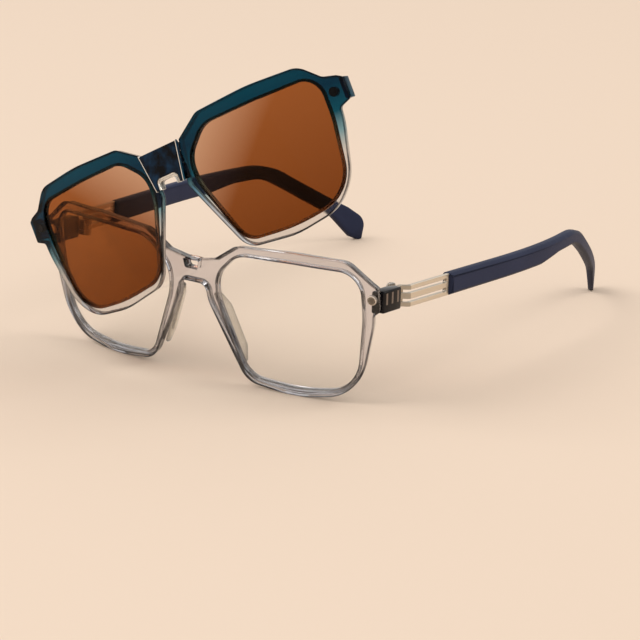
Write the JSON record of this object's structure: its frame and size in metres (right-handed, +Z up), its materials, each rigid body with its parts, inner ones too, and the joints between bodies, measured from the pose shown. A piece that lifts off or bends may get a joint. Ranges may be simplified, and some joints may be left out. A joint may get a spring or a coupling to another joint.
{
  "type": "magnetic clip-on eyeglasses",
  "caption": "Open square-rimmed eyeglasses with folding slotted metal temples, and a tinted clip-on that folds at its bridge, lifted off in front",
  "frame": {"origin": "On the floor the glasses stand on, under the middle of the box round the glasses and the lifted clip-on", "axes": "+X is the wearer's left, +Y runs back along the temples, +Z is up; the front faces -Y"},
  "size_m": [0.1416, 0.1692, 0.1063],
  "materials": {
    "grey_crystal": "polished clear grey acetate",
    "clear_lens": "clear coated lens",
    "nose_pad": "clear moulded pad",
    "plated_magnet": "satin nickel plate",
    "hinge_steel": "polished steel",
    "champagne_metal": "satin champagne plate",
    "navy_temple": "matt navy acetate",
    "blue_fade": "polished, petrol blue fading to clear grey",
    "brown_tint": "brown polarised lens",
    "dark_magnet": "black plated magnet",
    "bridge_blue": "polished blue-black"
  },
  "bodies": {
    "front": {"front_frame": "grey_crystal", "demo_lens_left": "clear_lens", "demo_lens_right": "clear_lens", "nose_pad_left": "nose_pad", "nose_pad_right": "nose_pad", "frame_magnet_left": "plated_magnet", "frame_magnet_right": "plated_magnet", "front_leaf_left": "hinge_steel", "front_leaf_right": "hinge_steel", "hinge_screw_left": "hinge_steel", "hinge_screw_right": "hinge_steel"},
    "temple_left": {"temple_leaf_left": "hinge_steel", "temple_plate_left": "champagne_metal", "temple_tip_left": "navy_temple"},
    "temple_right": {"temple_leaf_right": "hinge_steel", "temple_plate_right": "champagne_metal", "temple_tip_right": "navy_temple"},
    "clip_middle": {"clip_bridge": "bridge_blue", "clip_pin_left": "hinge_steel", "clip_pin_right": "hinge_steel"},
    "clip_left": {"clip_rim_left": "blue_fade", "tinted_lens_left": "brown_tint", "clip_magnet_left": "dark_magnet"},
    "clip_right": {"clip_rim_right": "blue_fade", "tinted_lens_right": "brown_tint", "clip_magnet_right": "dark_magnet"}
  },
  "joints": [
    {"name": "temple_fold_left", "type": "hinge", "parent": "front", "child": "temple_left", "pos_m": [0.06252, -0.04962, 0.03351], "axis": [0, 0.0471, 0.9989], "range_deg": [-2.8, 88]},
    {"name": "temple_fold_right", "type": "hinge", "parent": "front", "child": "temple_right", "pos_m": [-0.05965, -0.04962, 0.03351], "axis": [0, -0.0471, -0.9989], "range_deg": [0, 84]},
    {"name": "clip_pull_off", "type": "slide", "parent": "front", "child": "clip_middle", "axis": [0, -1, 0], "range_m": [0, 0.09]},
    {"name": "clip_fold_left", "type": "hinge", "parent": "clip_middle", "child": "clip_left", "pos_m": [0.00666, -0.08101, 0.07251], "axis": [-0.4764, 0.0478, 0.8779], "range_deg": [0, 80]},
    {"name": "clip_fold_right", "type": "hinge", "parent": "clip_middle", "child": "clip_right", "pos_m": [-0.00366, -0.08153, 0.06694], "axis": [0.4764, -0.0478, -0.8779], "range_deg": [0, 80]}
  ],
  "couplings": [
    {"joint": "clip_fold_left", "follows": "clip_pull_off", "rad_per_m": 15.5},
    {"joint": "clip_fold_right", "follows": "clip_pull_off", "rad_per_m": 15.5}
  ]
}
